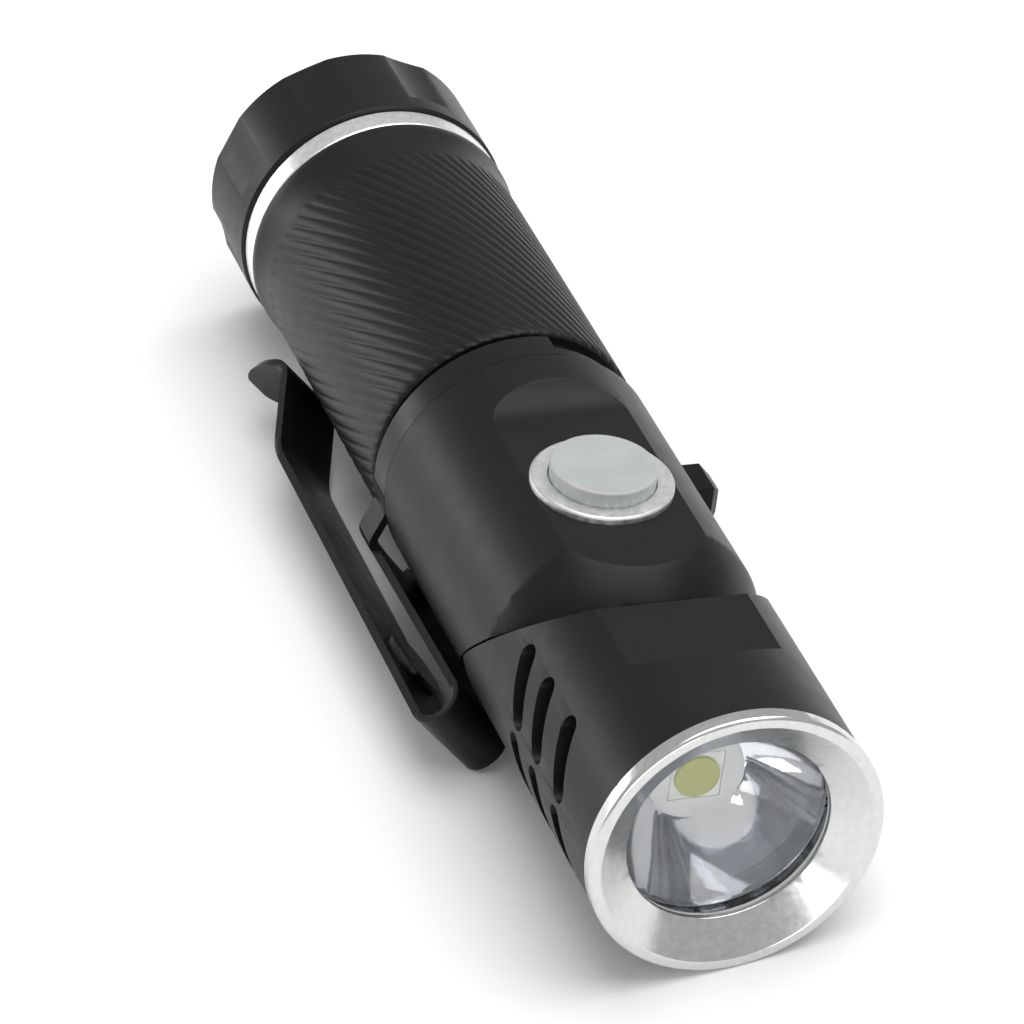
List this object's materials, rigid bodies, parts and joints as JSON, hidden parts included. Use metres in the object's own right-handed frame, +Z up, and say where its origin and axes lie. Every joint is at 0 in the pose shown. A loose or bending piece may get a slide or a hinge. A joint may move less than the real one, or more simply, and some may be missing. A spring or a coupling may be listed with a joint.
{
  "type": "tactical flashlight",
  "caption": "Pocket flashlight with a 45 degree twist head, side button with steel ring, covered charging socket, screw-off tail cap and swivelling sheet steel pocket clip.",
  "frame": {"origin": "centre of the tail cap's flat end face, on the light's axis", "axes": "+Y along the light from lens to tail, +Z up as the light lies on a flat floor on its bezel, tail cap and clip edge, +X to the side of the charging socket"},
  "size_m": [0.0363, 0.12, 0.0293],
  "materials": {
    "badge_black": "satin black",
    "board": "green solder mask",
    "body_anodised": "hard anodised, satin black",
    "brass_contact": "gold flash",
    "button_silicone": "translucent grey silicone",
    "button_steel": "polished",
    "cap_anodised": "hard anodised, satin black",
    "cell_steel": "nickel plated",
    "cell_wrap": "shrink sleeve",
    "clip_steel": "satin black spring steel",
    "cover_rubber": "black rubber",
    "led_ceramic": "white ceramic",
    "led_frame": "white plastic",
    "lens_glass": "clear, coated",
    "metal_core_board": "metal core board with white mask",
    "phosphor": "yellow phosphor in silicone",
    "polished_bezel": "polished stainless steel",
    "reflector_mirror": "smooth mirror",
    "seal_rubber": "black nitrile",
    "socket_metal": "drawn shell",
    "spring_steel": "plated",
    "steel": "machined",
    "switch_metal": "stamped",
    "tail_polished": "bright turned",
    "washer_plastic": "low friction plastic"
  },
  "bodies": {
    "body": {"switch_housing": "body_anodised", "switch_bezel": "button_steel", "switch_board": "board", "tact_switch": "switch_metal", "usb_socket": "socket_metal", "driver_board": "board", "positive_contact": "brass_contact", "front_tube_seal": "seal_rubber", "battery_tube": "body_anodised", "battery_can": "cell_steel", "battery_wrap": "cell_wrap", "rear_tube_seal": "seal_rubber", "pivot_washer": "washer_plastic", "pivot_seal": "seal_rubber"},
    "head": {"head_shell": "body_anodised", "bezel_ring": "polished_bezel", "lens_seal": "seal_rubber", "front_lens": "lens_glass", "reflector": "reflector_mirror", "centering_ring": "led_frame", "led_package": "led_ceramic", "led_phosphor": "phosphor", "led_board": "metal_core_board", "pivot_shaft": "steel", "pivot_retaining_ring": "spring_steel"},
    "button": {"button_cap": "button_silicone"},
    "socket_cover": {"usb_plug": "cover_rubber"},
    "clip": {"pocket_clip": "clip_steel", "clip_badge": "badge_black"},
    "ring_at_tail": {"tail_ring": "tail_polished"},
    "tail": {"tail_cap": "cap_anodised", "tail_board": "board", "board_retainer": "steel", "tail_spring": "spring_steel"}
  },
  "joints": [
    {"name": "head_twist", "type": "hinge", "parent": "body", "child": "head", "pos_m": [0, -0.0858, 0], "axis": [0.1189, 0.7071, 0.697], "range_deg": [0, 180]},
    {"name": "clip_swivel", "type": "hinge", "parent": "body", "child": "clip", "pos_m": [0, -0.0564, 0], "axis": [0, 1, 0], "range_deg": [0, 55.5]},
    {"name": "button_press", "type": "slide", "parent": "body", "child": "button", "axis": [-0.1681, 0, -0.9858], "range_m": [0, 0.0005], "stiffness_N_per_m": 3000},
    {"name": "socket_cover_open", "type": "hinge", "parent": "body", "child": "socket_cover", "pos_m": [0.014, -0.0815, -0.00087], "axis": [-0.1681, 0, -0.9858], "range_deg": [0, 100]},
    {"name": "tail_travel", "type": "slide", "parent": "body", "child": "ring_at_tail", "axis": [0, 1, 0], "range_m": [0, 0.00501]},
    {"name": "tail_unscrew", "type": "hinge", "parent": "ring_at_tail", "child": "tail", "pos_m": [0, -0.0118, 0], "axis": [0, 1, 0], "range_deg": [0, 1800]}
  ],
  "couplings": [
    {"joint": "clip_swivel", "follows": "head_twist", "ratio": 0.30556},
    {"joint": "tail_travel", "follows": "tail_unscrew", "m_per_rad": 0.00015915}
  ]
}
